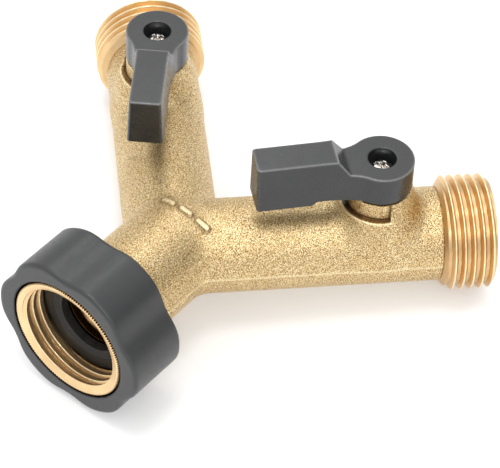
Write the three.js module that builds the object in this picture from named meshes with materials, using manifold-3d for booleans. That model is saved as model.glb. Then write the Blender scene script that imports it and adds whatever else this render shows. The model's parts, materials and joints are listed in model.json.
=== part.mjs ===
// Hose splitter: a forged brass Y with one swivel nut for the tap and two hose outlets,
// each outlet shut by its own quarter-turn ball valve. Millimetres, +Z up.
//
// The splitter is drawn in its own frame first: the three passages cross at the origin,
// the inlet runs along -X, the left outlet along +X+Y, the right outlet along +X-Y, and
// both valve stems point along +Z. The finished assembly is then tipped and lifted so
// that it lies on z = 0 as it does on a table, on its nut grip and its two outlet threads.

import * as THREE from 'three';
import { mergeVertices } from 'three/addons/utils/BufferGeometryUtils.js';
import Module from 'manifold-3d';

const wasm = await Module();
wasm.setup();

const degrees = THREE.MathUtils.degToRad;

// ---- Driving dimensions -------------------------------------------------------------

const GAP = 0.3; // air between neighbouring pieces
const PAST = 1; // how far a cutting tool runs past the face it opens
const ROUND = 32; // sides of a large round
const FINE = 20; // sides of a small round

const ARM_ANGLE = degrees(45); // each outlet from the line of the inlet
const ARM_RADIUS = 10.98;
const NECK_RADIUS = 11.9; // inlet neck, and the ball where the three arms meet
const NECK_END = 23.3; // where the neck stops, from the origin along the inlet

const THREAD_PITCH = 2.209; // 11.5 threads per inch garden hose thread
const MALE_CREST = 13.45;
const MALE_ROOT = 12.06;
const MALE_START = 61.4; // along the arm
const MALE_END = 73.6;
const MALE_LEAD = 1.7; // length of the bevel up to the first crest
const MALE_CRESTS = 5;

const CHAMBER_RADIUS = 9.0; // outlet bore, which is also the ball chamber
const PASSAGE_RADIUS = 7.2; // bore between the two chambers and the inlet

const STEM_PLACE = 46.84; // valve stem axis, along the arm
const BOSS_TOP_RADIUS = 7.5;
const BOSS_WAIST_RADIUS = 9.3;
const BOSS_FOOT_RADIUS = 10.4;
const BOSS_TOP = 17.3;
const BOSS_WAIST = 12.6; // where the tapered boss starts to spread into the arm
const NOTCH_FLOOR = 13.0;
const NOTCH_CORE = 7.4; // round core left standing in the notch
const NOTCH_SPARE = degrees(10.7); // notch beyond the lever's open and shut directions
const QUARTER_TURN = degrees(90);

const BALL_RADIUS = 8.0;
const PORT_RADIUS = 5.0;
const SLOT_FLOOR = 6.0;
const TANG_HALF_THICKNESS = 1.1;
const TANG_HALF_LENGTH = 2.6;

const FLANGE_RADIUS = 4.3; // flange at the foot of the stem
const FLANGE_BOTTOM = BALL_RADIUS + 0.4;
const FLANGE_TOP = FLANGE_BOTTOM + 1.4;
const WASHER_THICKNESS = 0.6;
const POCKET_TOP = FLANGE_TOP + WASHER_THICKNESS + 2 * GAP;
const STEM_RADIUS = 3.4;
const STEM_SHOULDER = 17.5;
const STEM_SQUARE = 2.4; // half the width across the flats
const STEM_TOP = 20.1;
const GROOVE_RADIUS = 1.9;
const GROOVE_HALF_HEIGHT = 0.8;
const STEM_RING_SECTION = 0.55;
const STEM_RING_HEIGHTS = { lower: 12.5, upper: 15.3 };

const HUB_RADIUS = 7.43;
const HUB_BOTTOM = 17.8;
const HUB_TOP = 25.5;
const HUB_OPENING = degrees(50); // where the hub's round runs out into the neck
const GRIP_TOP = 29.2;
const GRIP_BOTTOM = 16.8;
const GRIP_END = 29.4;
const GRIP_HALF_WIDTH = 4.25;
const GRIP_DRAFT = Math.tan(degrees(2.3));
const RAMP_FOOT = 8.2;
const RAMP_HEAD = 11.0;
const UNDERSIDE_STEP = 16.5;
const LUG_INNER = 7.75;
const LUG_OUTER = 8.65;
const LUG_HALF_ANGLE = degrees(9.5);
const SCREW_RECESS = 3.22;
const SCREW_SEAT = 21.4;
const SCREW_HEAD_RADIUS = 2.4;
const SCREW_HEAD_HEIGHT = 1.6;
const SCREW_SHANK = 1.2;
const SCREW_TIP = 17.0;

// How far each grip stands turned outwards from in line with its arm.
const LEVER_TURN = { left: degrees(10.4), right: degrees(4.45) };

const NUT_MOUTH = 37.4; // distances of the nut's faces from the origin along the inlet
const NUT_BACK = 23.6;
const NUT_RADIUS = 15.2;
const FEMALE_CREST = 12.2;
const FEMALE_ROOT = 13.55;
const FEMALE_START = 31.6; // first crest inside the nut, next to the washer
const FEMALE_CRESTS = 3;
const MOUTH_BEVEL = 14.3;
const WASHER_FRONT = 30.5;
const WASHER_BACK = 27.7;
const WASHER_HOLE = 8.0;
const COLLAR_FRONT = 27.4;
const COLLAR_BACK = 25.9;
const TAIL_RADIUS = 9.6;
const TAIL_BORE = 6.8;
const TAIL_MOUTH_BORE = 7.6; // wider bore behind the washer
const TAIL_LEDGE = 24.6; // where the wider bore has narrowed to the bore
const TAIL_LEDGE_RISE = 1.0;
const TAIL_END = 13.5;
const TAIL_RING_PLACE = 18.0;
const TAIL_RING_SECTION = 0.65;

const GRIP_FRONT = 37.1;
const GRIP_BACK = 21.8;
const GRIP_MIDDLE = 19.69; // nut grip: axis to its outline, half way up its six lobes
const GRIP_LOBE = 0.775; // how far the lobes rise and the hollows dip from there
const GRIP_SHOULDER = 0.163; // how much this rise is filled out into shoulders
const GRIP_SIDES = 60;
const GRIP_EDGE = 0.8; // rounding along its front and back edges

// ---- Materials ----------------------------------------------------------------------

const finish = (color, roughness, metalness) => ({ color, roughness, metalness });
const FORGED_BRASS = finish(0xd9b476, 0.45, 1);
const MACHINED_BRASS = finish(0xdba55c, 0.25, 1);
const BLACK_PLASTIC = finish(0x3c3e40, 0.5, 0);
const GRIP_RUBBER = finish(0x4a4c4e, 0.6, 0);
const SEAL_RUBBER = finish(0x161616, 0.7, 0);
const WHITE_PTFE = finish(0xf0f0ec, 0.4, 0);
const BRIGHT_CHROME = finish(0xd8d8da, 0.12, 1);

const piece = (name, geometry, look) => {
  const mesh = new THREE.Mesh(geometry, new THREE.MeshStandardMaterial(look));
  mesh.name = name;
  return mesh;
};

// ---- Solids, cuts and joins ---------------------------------------------------------

// Merged positions only, with the faces turned to point out of the body.
const closed = (geometry) => {
  const bare = geometry.clone();
  bare.deleteAttribute('normal');
  bare.deleteAttribute('uv');
  const merged = mergeVertices(bare, 1e-4);
  const position = merged.attributes.position;
  const corner = [0, 1, 2].map(() => new THREE.Vector3());
  const faces = [];
  let volume = 0;
  for (let i = 0; i < merged.index.count; i += 3) {
    const face = [0, 1, 2].map((k) => merged.index.getX(i + k));
    if (new Set(face).size < 3) continue;
    face.forEach((vertex, k) => corner[k].fromBufferAttribute(position, vertex));
    volume += corner[0].dot(corner[1].clone().cross(corner[2]));
    faces.push(face);
  }
  merged.setIndex(faces.map((face) => (volume < 0 ? face.reverse() : face)).flat());
  return merged;
};

const solid = (geometry) => {
  const body = closed(geometry);
  return new wasm.Manifold(new wasm.Mesh({
    numProp: 3,
    vertProperties: new Float32Array(body.attributes.position.array),
    triVerts: new Uint32Array(body.index.array),
  }));
};

const geometryOf = (manifold) => {
  const mesh = manifold.getMesh();
  const geometry = new THREE.BufferGeometry();
  geometry.setAttribute('position', new THREE.BufferAttribute(mesh.vertProperties, 3));
  geometry.setIndex(Array.from(mesh.triVerts));
  return geometry;
};

const join = (geometries) => geometries.map(solid).reduce((whole, next) => whole.add(next));
const cut = (whole, geometries) => geometries.reduce((rest, tool) => rest.subtract(solid(tool)), whole);

// ---- Basic shapes, all about the Z axis ---------------------------------------------

// A round rod from one height to another.
const rod = (radius, from, to, sides = FINE) => new THREE.CylinderGeometry(radius, radius, to - from, sides)
  .rotateX(Math.PI / 2)
  .translate(0, 0, (from + to) / 2);

const block = (x0, x1, y0, y1, z0, z1) => new THREE.BoxGeometry(x1 - x0, y1 - y0, z1 - z0)
  .translate((x0 + x1) / 2, (y0 + y1) / 2, (z0 + z1) / 2);

// A turned shape from [radius, height] points; a profile clear of the axis closes on itself.
const turned = (profile, sides = ROUND) => {
  const points = profile.map(([radius, height]) => new THREE.Vector2(radius, height));
  if (profile[0][0] > 0) points.push(points[0].clone());
  return closed(new THREE.LatheGeometry(points, sides).rotateX(Math.PI / 2));
};

const seal = (radius, section, height) => closed(
  new THREE.TorusGeometry(radius, section, 6, FINE).translate(0, 0, height),
);

const prism = (shape, from, to, curveSegments = 12) => new THREE.ExtrudeGeometry(shape, {
  depth: to - from, bevelEnabled: false, curveSegments,
}).translate(0, 0, from);

// Part of a ring between two angles.
const sector = (inner, outer, start, end) => {
  const [low, high] = [Math.min(start, end), Math.max(start, end)];
  const shape = new THREE.Shape();
  shape.absarc(0, 0, outer, low, high, false);
  shape.absarc(0, 0, inner, high, low, true);
  shape.closePath();
  return shape;
};

// ---- Frames -------------------------------------------------------------------------

const LEFT = { name: 'left', side: 1 };
const RIGHT = { name: 'right', side: -1 };
const INLET_FRAME = new THREE.Matrix4().makeRotationY(-Math.PI / 2); // +Z turns to -X
const CROSSWISE = new THREE.Matrix4().makeRotationY(Math.PI / 2); // +Z turns to +X

const armDirection = ({ side }) => side * ARM_ANGLE;
const inlineDirection = (arm) => armDirection(arm) + Math.PI;
const stemPosition = (arm) => new THREE.Vector3(
  STEM_PLACE * Math.cos(armDirection(arm)),
  STEM_PLACE * Math.sin(armDirection(arm)),
  0,
);

const onInlet = (geometry) => geometry.clone().applyMatrix4(INLET_FRAME);
const onArm = (arm, geometry) => geometry.clone()
  .applyMatrix4(CROSSWISE)
  .rotateZ(armDirection(arm));
const onStem = (arm, geometry) => geometry.clone()
  .rotateZ(inlineDirection(arm))
  .translate(...stemPosition(arm));

// ---- Body ---------------------------------------------------------------------------

const THREAD_FLAT = THREAD_PITCH / 8; // flat on each crest and in each root
const THREAD_FLANK = THREAD_PITCH / 2 - THREAD_FLAT;

// Thread ridges as [radius, height] pairs, from the first crest to the last.
const threadRidges = (root, crest, start, crests) => {
  const ridges = [];
  for (let turn = 0; turn < crests; turn += 1) {
    const crestStart = start + turn * THREAD_PITCH;
    const rootStart = crestStart + THREAD_FLAT + THREAD_FLANK;
    ridges.push([crest, crestStart], [crest, crestStart + THREAD_FLAT]);
    if (turn < crests - 1) ridges.push([root, rootStart], [root, rootStart + THREAD_FLAT]);
  }
  return ridges;
};

const armOutside = () => turned([
  [0, 0],
  [ARM_RADIUS, 0],
  [ARM_RADIUS, MALE_START],
  ...threadRidges(MALE_ROOT, MALE_CREST, MALE_START + MALE_LEAD, MALE_CRESTS),
  [MALE_ROOT, MALE_END],
  [0, MALE_END],
]);

const bossOutside = () => turned([
  [0, 0],
  [BOSS_FOOT_RADIUS, 0],
  [BOSS_FOOT_RADIUS, ARM_RADIUS * 0.7],
  [BOSS_WAIST_RADIUS, BOSS_WAIST],
  [BOSS_TOP_RADIUS, BOSS_TOP],
  [0, BOSS_TOP],
]);

const notch = ({ side }) => prism(
  sector(
    NOTCH_CORE, BOSS_FOOT_RADIUS + PAST, side * NOTCH_SPARE, -side * (QUARTER_TURN + NOTCH_SPARE),
  ),
  NOTCH_FLOOR,
  BOSS_TOP + PAST,
);

const makeBody = () => {
  const arms = [LEFT, RIGHT];
  const outside = join([
    onInlet(rod(NECK_RADIUS, 0, NECK_END, ROUND)),
    new THREE.SphereGeometry(NECK_RADIUS, ROUND, ROUND / 2),
    ...arms.map((arm) => onArm(arm, armOutside())),
    ...arms.map((arm) => onStem(arm, bossOutside())),
  ]);
  const chamberStart = STEM_PLACE - BALL_RADIUS - 3 * GAP;
  return cut(outside, [
    onInlet(rod(PASSAGE_RADIUS, 0, NECK_END + PAST)),
    onInlet(rod(TAIL_RADIUS + GAP, TAIL_END - GAP, NECK_END + PAST, ROUND)),
    new THREE.SphereGeometry(PASSAGE_RADIUS + GAP, FINE, FINE / 2),
    ...arms.flatMap((arm) => [
      onArm(arm, rod(PASSAGE_RADIUS, 0, chamberStart + PAST)),
      onArm(arm, rod(CHAMBER_RADIUS, chamberStart, MALE_END + PAST, ROUND)),
      onStem(arm, rod(FLANGE_RADIUS + GAP, 0, POCKET_TOP)),
      onStem(arm, rod(STEM_RADIUS + GAP, 0, BOSS_TOP + PAST)),
      onStem(arm, notch(arm)),
    ]),
  ]);
};

// ---- Inlet: tailpiece, swivel nut, grip and washer -----------------------------------

const makeTailpiece = () => {
  const ringFloor = TAIL_RADIUS - 2 * TAIL_RING_SECTION;
  const groove = TAIL_RING_SECTION + GAP;
  return turned([
    [TAIL_BORE, TAIL_END],
    [TAIL_RADIUS, TAIL_END],
    [TAIL_RADIUS, TAIL_RING_PLACE - groove],
    [ringFloor - GAP, TAIL_RING_PLACE - groove],
    [ringFloor - GAP, TAIL_RING_PLACE + groove],
    [TAIL_RADIUS, TAIL_RING_PLACE + groove],
    [TAIL_RADIUS, COLLAR_BACK],
    [FEMALE_ROOT - 2 * GAP, COLLAR_BACK],
    [FEMALE_ROOT - 2 * GAP, COLLAR_FRONT],
    [TAIL_MOUTH_BORE, COLLAR_FRONT],
    [TAIL_MOUTH_BORE, TAIL_LEDGE + TAIL_LEDGE_RISE],
    [TAIL_BORE, TAIL_LEDGE],
  ]);
};

const makeNut = () => {
  const ridges = threadRidges(FEMALE_ROOT, FEMALE_CREST, FEMALE_START, FEMALE_CRESTS);
  return turned([
    [TAIL_RADIUS + GAP, NUT_BACK],
    [NUT_RADIUS, NUT_BACK],
    [NUT_RADIUS, NUT_MOUTH],
    [MOUTH_BEVEL, NUT_MOUTH],
    ...ridges.reverse(),
    [FEMALE_ROOT, WASHER_FRONT],
    [FEMALE_ROOT, COLLAR_BACK - GAP],
    [TAIL_RADIUS + GAP, COLLAR_BACK - GAP],
  ]);
};

// The grip's outline: six broad lobes with hollows between them, one lobe on the X axis.
const gripOutline = Array.from({ length: GRIP_SIDES }, (_, side) => {
  const angle = side * 2 * Math.PI / GRIP_SIDES;
  const rise = GRIP_LOBE * Math.cos(6 * angle) - GRIP_SHOULDER * Math.cos(12 * angle);
  const radius = GRIP_MIDDLE + rise;
  return new THREE.Vector2(radius * Math.cos(angle), radius * Math.sin(angle));
});
const gripReach = Math.max(...gripOutline.map((point) => point.y));

const makeNutGrip = () => {
  const inner = gripOutline.map((point) => point.clone().setLength(point.length() - GRIP_EDGE));
  const block = new THREE.ExtrudeGeometry(new THREE.Shape(inner), {
    depth: GRIP_FRONT - GRIP_BACK - 2 * GRIP_EDGE,
    bevelThickness: GRIP_EDGE,
    bevelSize: GRIP_EDGE,
    bevelSegments: 2,
  }).rotateZ(Math.PI / 2).translate(0, 0, GRIP_BACK + GRIP_EDGE);
  return cut(solid(block), [
    rod(NUT_RADIUS + GAP, NUT_BACK - GAP, GRIP_FRONT + PAST, ROUND),
    rod(NECK_RADIUS + 2 * GAP, GRIP_BACK - PAST, NUT_BACK + PAST, ROUND),
  ]);
};

const makeInletWasher = () => turned([
  [WASHER_HOLE, WASHER_BACK],
  [FEMALE_ROOT - 2 * GAP, WASHER_BACK],
  [FEMALE_ROOT - 2 * GAP, WASHER_FRONT - GAP],
  [WASHER_HOLE, WASHER_FRONT - GAP],
]);

const makeInlet = () => {
  const inlet = new THREE.Group();
  inlet.applyMatrix4(INLET_FRAME);
  inlet.add(
    piece('inlet_tailpiece', makeTailpiece(), MACHINED_BRASS),
    piece('tailpiece_o_ring', seal(TAIL_RADIUS - TAIL_RING_SECTION - GAP / 2, TAIL_RING_SECTION,
      TAIL_RING_PLACE), SEAL_RUBBER),
    piece('swivel_nut', makeNut(), MACHINED_BRASS),
    piece('nut_grip', geometryOf(makeNutGrip()), GRIP_RUBBER),
    piece('inlet_washer', makeInletWasher(), SEAL_RUBBER),
  );
  return inlet;
};

// ---- Valve parts that stay with the body ---------------------------------------------

// A seat ring with a cone towards the ball; its flat back faces away from the ball.
const makeSeat = () => {
  const clear = BALL_RADIUS + 1.3 * GAP;
  const back = BALL_RADIUS + 2 * GAP;
  const lip = FLANGE_RADIUS + 1.5 * GAP;
  const innerRadius = PORT_RADIUS + GAP;
  return turned([
    [innerRadius, back],
    [CHAMBER_RADIUS - GAP, back],
    [CHAMBER_RADIUS - GAP, lip],
    [Math.sqrt(clear ** 2 - lip ** 2), lip],
    [innerRadius, Math.sqrt(clear ** 2 - innerRadius ** 2)],
  ], FINE);
};

const RETAINER_START = BALL_RADIUS + 3 * GAP;
const RETAINER_END = RETAINER_START + 4;

const makeRetainer = () => {
  const inner = PORT_RADIUS + 2 * GAP;
  const slot = 1.1;
  const ring = solid(turned([
    [inner, RETAINER_START],
    [CHAMBER_RADIUS - GAP, RETAINER_START],
    [CHAMBER_RADIUS - GAP, RETAINER_END],
    [inner, RETAINER_END],
  ]));
  const spannerSlots = block(
    -CHAMBER_RADIUS, CHAMBER_RADIUS, -slot, slot, RETAINER_END - 1.6, RETAINER_END + PAST,
  );
  return geometryOf(cut(ring, [spannerSlots]));
};

const makeThrustWasher = () => turned([
  [STEM_RADIUS + GAP, FLANGE_TOP + GAP],
  [FLANGE_RADIUS, FLANGE_TOP + GAP],
  [FLANGE_RADIUS, FLANGE_TOP + GAP + WASHER_THICKNESS],
  [STEM_RADIUS + GAP, FLANGE_TOP + GAP + WASHER_THICKNESS],
], FINE);

const makeValveHousing = (arm) => {
  const housing = new THREE.Group();
  housing.position.copy(stemPosition(arm));
  housing.rotation.z = armDirection(arm);
  const downstream = new THREE.Group();
  downstream.applyMatrix4(CROSSWISE);
  const upstream = new THREE.Group();
  upstream.applyMatrix4(INLET_FRAME);
  downstream.add(
    piece(`seat_outer_${arm.name}`, makeSeat(), WHITE_PTFE),
    piece(`seat_retainer_${arm.name}`, makeRetainer(), MACHINED_BRASS),
  );
  upstream.add(piece(`seat_inner_${arm.name}`, makeSeat(), WHITE_PTFE));
  housing.add(downstream, upstream);
  housing.add(piece(`thrust_washer_${arm.name}`, makeThrustWasher(), WHITE_PTFE));
  return housing;
};

// ---- Valve parts that turn: ball, stem, lever and screw --------------------------------
// In their frame the stem is the Z axis, and the grip and the ball's port lie along X.

const makeBall = () => {
  const slot = TANG_HALF_THICKNESS + GAP;
  const port = rod(PORT_RADIUS, -BALL_RADIUS - PAST, BALL_RADIUS + PAST).applyMatrix4(CROSSWISE);
  return geometryOf(cut(solid(new THREE.SphereGeometry(BALL_RADIUS, FINE, FINE / 2)), [
    port,
    block(-slot, slot, -BALL_RADIUS, BALL_RADIUS, SLOT_FLOOR, BALL_RADIUS + PAST),
  ]));
};

const makeStem = () => {
  const grooves = Object.values(STEM_RING_HEIGHTS).flatMap((height) => [
    [STEM_RADIUS, height - GROOVE_HALF_HEIGHT],
    [GROOVE_RADIUS, height - GROOVE_HALF_HEIGHT],
    [GROOVE_RADIUS, height + GROOVE_HALF_HEIGHT],
    [STEM_RADIUS, height + GROOVE_HALF_HEIGHT],
  ]);
  const shaft = turned([
    [0, FLANGE_BOTTOM],
    [FLANGE_RADIUS, FLANGE_BOTTOM],
    [FLANGE_RADIUS, FLANGE_TOP],
    [STEM_RADIUS, FLANGE_TOP],
    ...grooves,
    [STEM_RADIUS, STEM_SHOULDER],
    [0, STEM_SHOULDER],
  ], FINE);
  const tang = block(
    -TANG_HALF_THICKNESS, TANG_HALF_THICKNESS,
    -TANG_HALF_LENGTH, TANG_HALF_LENGTH,
    SLOT_FLOOR + GAP, FLANGE_TOP,
  );
  const square = block(
    -STEM_SQUARE, STEM_SQUARE, -STEM_SQUARE, STEM_SQUARE, STEM_SHOULDER - PAST, STEM_TOP,
  );
  const screwHole = rod(SCREW_SHANK + GAP, SCREW_TIP - GAP, STEM_TOP + PAST, 16);
  return geometryOf(cut(join([shaft, tang, square]), [screwHole]));
};

// The lever seen from above: round hub, hollow-curved neck and straight grip.
const leverPlan = () => {
  const x = HUB_RADIUS * Math.cos(HUB_OPENING);
  const y = HUB_RADIUS * Math.sin(HUB_OPENING);
  const neckEnd = HUB_RADIUS * 2;
  const shape = new THREE.Shape();
  shape.absarc(0, 0, HUB_RADIUS, HUB_OPENING, 2 * Math.PI - HUB_OPENING, false);
  shape.bezierCurveTo(x + 2, -y + 1, neckEnd - 4, -GRIP_HALF_WIDTH, neckEnd, -GRIP_HALF_WIDTH);
  shape.lineTo(GRIP_END, -GRIP_HALF_WIDTH);
  shape.lineTo(GRIP_END, GRIP_HALF_WIDTH);
  shape.lineTo(neckEnd, GRIP_HALF_WIDTH);
  shape.bezierCurveTo(neckEnd - 4, GRIP_HALF_WIDTH, x + 2, y - 1, x, y);
  return shape;
};

// The lever seen from the side, as distance along the grip against height.
const leverSide = () => {
  const shape = new THREE.Shape();
  shape.moveTo(-HUB_RADIUS - PAST, HUB_BOTTOM);
  shape.lineTo(UNDERSIDE_STEP - PAST, HUB_BOTTOM);
  shape.lineTo(UNDERSIDE_STEP, GRIP_BOTTOM);
  shape.lineTo(GRIP_END + PAST, GRIP_BOTTOM);
  shape.lineTo(GRIP_END + PAST, GRIP_TOP);
  shape.lineTo(RAMP_HEAD, GRIP_TOP);
  shape.lineTo(RAMP_FOOT, HUB_TOP);
  shape.lineTo(-HUB_RADIUS - PAST, HUB_TOP);
  shape.closePath();
  return shape;
};

// Mould draft: the grip narrows towards its top, the hub doesn't.
const drafted = (geometry) => {
  const position = geometry.attributes.position;
  for (let i = 0; i < position.count; i += 1) {
    const along = THREE.MathUtils.clamp((position.getX(i) - 5) / 5, 0, 1);
    const inset = along * GRIP_DRAFT * (position.getZ(i) - GRIP_BOTTOM);
    position.setY(i, position.getY(i) - Math.sign(position.getY(i)) * inset);
  }
  return geometry;
};

const makeLever = () => {
  const plan = solid(prism(leverPlan(), GRIP_BOTTOM - PAST, GRIP_TOP + PAST));
  const width = 2 * HUB_RADIUS;
  const side = solid(prism(leverSide(), -width, width).rotateX(Math.PI / 2));
  const outside = solid(drafted(geometryOf(plan.intersect(side))));
  const lug = prism(
    sector(LUG_INNER, LUG_OUTER, -LUG_HALF_ANGLE, LUG_HALF_ANGLE),
    NOTCH_FLOOR + GAP,
    HUB_BOTTOM + PAST,
    4,
  );
  const socket = STEM_SQUARE + GAP;
  return geometryOf(cut(outside.add(solid(lug)), [
    rod(SCREW_RECESS, SCREW_SEAT, HUB_TOP + PAST),
    rod(SCREW_SHANK + GAP, STEM_TOP, HUB_TOP, 16),
    block(-socket, socket, -socket, socket, HUB_BOTTOM - PAST, STEM_TOP + GAP),
  ]));
};

const makeLeverScrew = () => {
  const seat = SCREW_SEAT + GAP;
  const crown = seat + SCREW_HEAD_HEIGHT;
  const head = turned([
    [0, SCREW_TIP],
    [SCREW_SHANK, SCREW_TIP],
    [SCREW_SHANK, seat],
    [SCREW_HEAD_RADIUS, seat],
    [SCREW_HEAD_RADIUS, crown - SCREW_HEAD_HEIGHT / 2],
    [SCREW_HEAD_RADIUS * 0.7, crown - SCREW_HEAD_HEIGHT / 8],
    [0, crown],
  ], 16);
  const arm = 1.3;
  const blade = 0.3;
  const depth = crown - 0.9;
  return geometryOf(cut(solid(head), [
    block(-arm, arm, -blade, blade, depth, crown + PAST),
    block(-blade, blade, -arm, arm, depth, crown + PAST),
  ]));
};

const makeValveMover = (arm) => {
  const mover = new THREE.Group();
  mover.position.copy(stemPosition(arm));
  mover.rotation.z = inlineDirection(arm) - arm.side * LEVER_TURN[arm.name];
  mover.add(
    piece(`ball_${arm.name}`, makeBall(), BRIGHT_CHROME),
    piece(`stem_${arm.name}`, makeStem(), MACHINED_BRASS),
    piece(`lever_${arm.name}`, makeLever(), BLACK_PLASTIC),
    piece(`lever_screw_${arm.name}`, makeLeverScrew(), BRIGHT_CHROME),
  );
  const ringRadius = (GROOVE_RADIUS + STEM_RADIUS + GAP) / 2;
  Object.entries(STEM_RING_HEIGHTS).forEach(([place, height]) => {
    const ring = seal(ringRadius, STEM_RING_SECTION, height);
    mover.add(piece(`stem_o_ring_${place}_${arm.name}`, ring, SEAL_RUBBER));
  });
  return mover;
};

// ---- Assembly ------------------------------------------------------------------------

const splitter = new THREE.Group();
splitter.add(piece('body', geometryOf(makeBody()), FORGED_BRASS), makeInlet());
[LEFT, RIGHT].forEach((arm) => splitter.add(makeValveHousing(arm), makeValveMover(arm)));

// Lying down, the splitter tips forward until the last thread crests meet the table
// while it stands on the back edge of the nut grip's two lowest lobes.
const lowestCrest = MALE_START + MALE_LEAD + (MALE_CRESTS - 1) * THREAD_PITCH + THREAD_FLAT;
const restDistance = lowestCrest * Math.cos(ARM_ANGLE) + GRIP_BACK + GRIP_EDGE;
const tip = Math.atan((gripReach - MALE_CREST) / restDistance);
splitter.rotation.y = tip;

const group = new THREE.Group();
group.add(splitter);
group.updateMatrixWorld(true);
const box = new THREE.Box3().setFromObject(group, true);
const middle = box.getCenter(new THREE.Vector3());
splitter.position.set(-middle.x, -middle.y, -box.min.z);

export default group;
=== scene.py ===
"""Hose splitter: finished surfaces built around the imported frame, in Blender.

Shapes are worked out in the splitter's own frame, in millimetres: the three passages
cross at its origin, the inlet runs along -X, the left outlet along +X+Y, the right
outlet along +X-Y, and the valve stems point along +Z. TO_FRAME carries them into the
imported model's frame, in metres.
"""

import json
import math

import bpy
import numpy as np
from mathutils import Matrix, Vector


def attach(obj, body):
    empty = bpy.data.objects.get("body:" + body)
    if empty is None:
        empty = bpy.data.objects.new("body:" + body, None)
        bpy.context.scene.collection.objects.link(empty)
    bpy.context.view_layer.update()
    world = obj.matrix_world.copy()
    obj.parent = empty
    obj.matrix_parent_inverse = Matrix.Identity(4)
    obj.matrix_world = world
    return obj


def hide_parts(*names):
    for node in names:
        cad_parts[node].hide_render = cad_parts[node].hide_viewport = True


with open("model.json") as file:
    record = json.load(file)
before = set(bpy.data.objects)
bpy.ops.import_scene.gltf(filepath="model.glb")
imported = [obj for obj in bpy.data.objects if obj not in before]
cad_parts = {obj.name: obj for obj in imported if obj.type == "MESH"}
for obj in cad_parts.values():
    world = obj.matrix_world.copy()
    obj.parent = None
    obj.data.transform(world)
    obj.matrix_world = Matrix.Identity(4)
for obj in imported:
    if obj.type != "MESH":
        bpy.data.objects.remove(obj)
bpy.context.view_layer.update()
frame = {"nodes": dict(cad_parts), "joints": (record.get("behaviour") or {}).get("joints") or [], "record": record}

# ---- The splitter's own frame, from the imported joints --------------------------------

MM = 0.001
ARM_ANGLE = math.radians(45)
ROOT_HALF = math.cos(ARM_ANGLE)
SIDES = {"left": 1, "right": -1}

joints = {joint["name"]: joint for joint in frame["joints"]}
nut_joint = joints["nut_spin"]
lever_joints = {side: joints[f"lever_{side}_turn"] for side in SIDES}

UP = Vector(lever_joints["left"]["axis"]).normalized()
FORWARD = -Vector(nut_joint["axis"]).normalized()
LEFTWARD = UP.cross(FORWARD)

stem_points = {side: Vector(joint["pos_m"]) for side, joint in lever_joints.items()}
STEM_PLACE = (stem_points["left"] - stem_points["right"]).length / (2 * ROOT_HALF * MM)
between_stems = (stem_points["left"] + stem_points["right"]) / 2
on_inlet_axis = Vector(nut_joint["pos_m"])
origin_along = (between_stems - on_inlet_axis).dot(FORWARD) - STEM_PLACE * ROOT_HALF * MM
ORIGIN = on_inlet_axis + FORWARD * origin_along

TO_FRAME = Matrix.Identity(4)
for column, direction in enumerate((FORWARD, LEFTWARD, UP)):
    for row in range(3):
        TO_FRAME[row][column] = direction[row] * MM
for row in range(3):
    TO_FRAME[row][3] = ORIGIN[row]


def stem_place(side):
    """Where a valve stem's axis meets its arm's axis, in millimetres."""
    return np.array([math.cos(ARM_ANGLE), SIDES[side] * math.sin(ARM_ANGLE), 0]) * STEM_PLACE


def lever_heading(side):
    """The direction of a grip at rest: its open stop is in line with the arm."""
    low, high = lever_joints[side]["range_deg"]
    to_open = math.radians(low if abs(low) < abs(high) else high)
    return SIDES[side] * ARM_ANGLE + math.pi - to_open


# ---- Driving dimensions, in millimetres ----------------------------------------------

ARM_RADIUS = 10.98
NECK_RADIUS = 11.9
NECK_END = -23.3
PASSAGE_RADIUS = 7.2
CHAMBER_RADIUS = 9.0
CHAMBER_START = STEM_PLACE - 8.9
STEM_BORE = 3.7
SOCKET_RADIUS = 9.9
SOCKET_END = -13.2

MALE_START = 61.4
MALE_END = 73.6
MALE_LEAD = 1.7
MALE_CREST = 13.45
MALE_ROOT = 12.06
THREAD_PITCH = 2.209
THREAD_PHASE = 1.43

BOSS_TOP_RADIUS = 7.45
BOSS_WAIST_RADIUS = 9.0
BOSS_WAIST = 12.6
BOSS_TOP = 17.3
BOSS_BLEND = 2.6
NOTCH_FLOOR = 13.0
NOTCH_CORE = 7.4
NOTCH_SPARE = math.radians(10.7)
# Strength of the painted highlight on the notch rims and of the painted shade in the notch corners.
NOTCH_RIM_HIGHLIGHT = 0.7
NOTCH_CORNER_SHADE = 0.85
MARKS_PLACE = (1.9, 3.2)
MARKS_SPACING = 5.0
MARK_HALF_LENGTH = 1.2
MARK_HALF_WIDTH = 0.85
MARK_SLOPE = 0.3
MARK_HEIGHT = 0.5
PARTING_HEIGHT = 0.25
PARTING_WIDTH = 0.3

HUB_RADIUS = 7.43
HUB_BOTTOM = 17.8
HUB_TOP = 25.5
HUB_OPENING = math.radians(50)
GRIP_TOP = 29.2
GRIP_BOTTOM = 16.8
GRIP_END = 29.4
GRIP_HALF_WIDTH = 4.25
GRIP_DRAFT = math.tan(math.radians(2.3))
RAMP_FOOT = 8.2
RAMP_HEAD = 11.0
UNDERSIDE_STEP = 16.5
LUG_INNER = 7.75
LUG_OUTER = 8.65
LUG_HALF_ANGLE = math.radians(9.5)
SCREW_RECESS = 3.22
SCREW_SEAT = 21.4
SCREW_HEAD = 2.4
SCREW_CROWN = 23.3
SCREW_SHANK = 1.2
SCREW_TIP = 17.0
SQUARE_SOCKET = 2.7
SQUARE_TOP = 20.4

GAP = 0.3
BALL_RADIUS = 8.0
PORT_RADIUS = 5.0
STEM_FLANGE = 4.3
RETAINER_START = BALL_RADIUS + 3 * GAP
RETAINER_END = RETAINER_START + 4

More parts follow.
